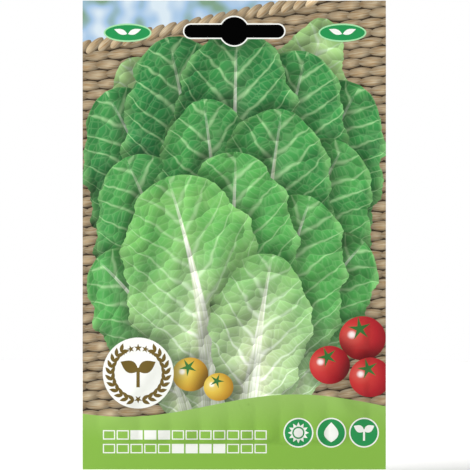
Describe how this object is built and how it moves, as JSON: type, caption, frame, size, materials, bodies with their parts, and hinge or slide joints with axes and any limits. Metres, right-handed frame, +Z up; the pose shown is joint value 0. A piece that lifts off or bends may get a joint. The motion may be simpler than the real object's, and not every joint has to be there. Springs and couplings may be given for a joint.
{
  "type": "seed packet",
  "caption": "Flat seed packet for hanging display: two sealed printed sheets, a euro hang slot through the header and loose seed in a pillow-shaped pocket.",
  "frame": {"origin": "top of the round middle of the hang slot, midway between the sheets, where a display hook bears", "axes": "+Z up along the packet's height as it hangs, +X along its width to the right of its printed front, -Y out of the printed front"},
  "size_m": [0.097, 0.0054, 0.1499],
  "materials": {
    "front_print": "satin",
    "back_print": "satin",
    "seed": "matte"
  },
  "bodies": {
    "root": {"front_sheet": "front_print", "back_sheet": "back_print", "seed_bulk": "seed"}
  },
  "joints": []
}
